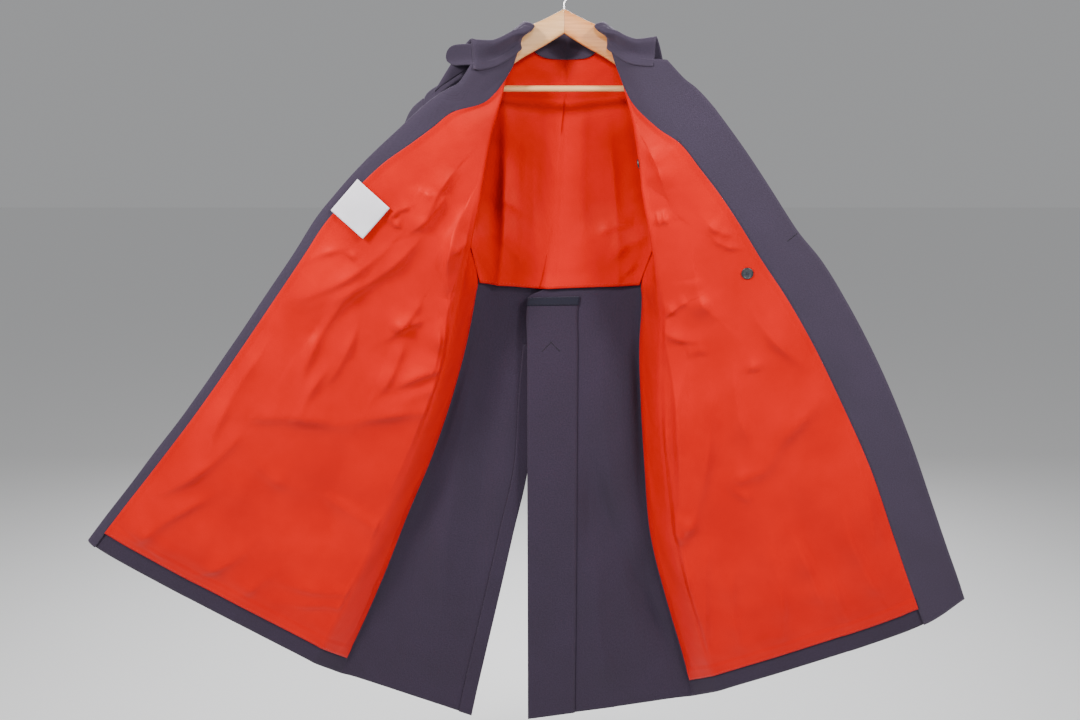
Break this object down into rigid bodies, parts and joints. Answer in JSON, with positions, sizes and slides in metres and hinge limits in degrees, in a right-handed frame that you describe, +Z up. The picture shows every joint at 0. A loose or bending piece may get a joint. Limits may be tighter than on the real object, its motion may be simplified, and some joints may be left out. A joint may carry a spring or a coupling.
{
  "type": "greatcoat on a wooden hanger",
  "caption": "Long wool greatcoat hanging open on a wooden hanger, fronts spread wide over a scarlet lining, skirts parted by a back vent, sleeves hanging behind.",
  "frame": {"origin": "inside of the crown of the hanger's hook, where a rail or peg carries it", "axes": "+X towards the wearer's left, +Y from the open front to the back, +Z up"},
  "size_m": [1.5359, 0.1951, 1.3482],
  "materials": {
    "wool": "matte wool",
    "facing_wool": "matte wool",
    "collar_wool": "matte wool",
    "lining": "satin twill",
    "tape": "woven tape",
    "label": "matte label cloth",
    "button": "polished",
    "wood_pale": "varnished beech",
    "wood_warm": "varnished beech",
    "wire": "bright wire"
  },
  "bodies": {
    "root": {"back_right": "wool", "back_left": "wool", "front_right": "wool", "front_left": "wool", "facing_right": "facing_wool", "facing_left": "facing_wool", "front_lining_right": "lining", "front_lining_left": "lining", "back_lining": "lining", "top_sleeve_right": "wool", "top_sleeve_left": "wool", "under_sleeve_right": "wool", "under_sleeve_left": "wool", "sleeve_lining_right": "lining", "collar": "collar_wool", "throat_tab": "collar_wool", "vent_facing_right": "facing_wool", "vent_facing_left": "facing_wool", "vent_tape": "tape", "label": "label", "inner_button_upper": "button", "inner_button_lower": "button", "outer_button_1": "button", "outer_button_2": "button", "outer_button_3": "button", "outer_button_4": "button", "hanger_arm_right": "wood_pale", "hanger_arm_left": "wood_warm", "hanger_bar": "wood_pale", "hanger_hook": "wire"}
  },
  "joints": []
}
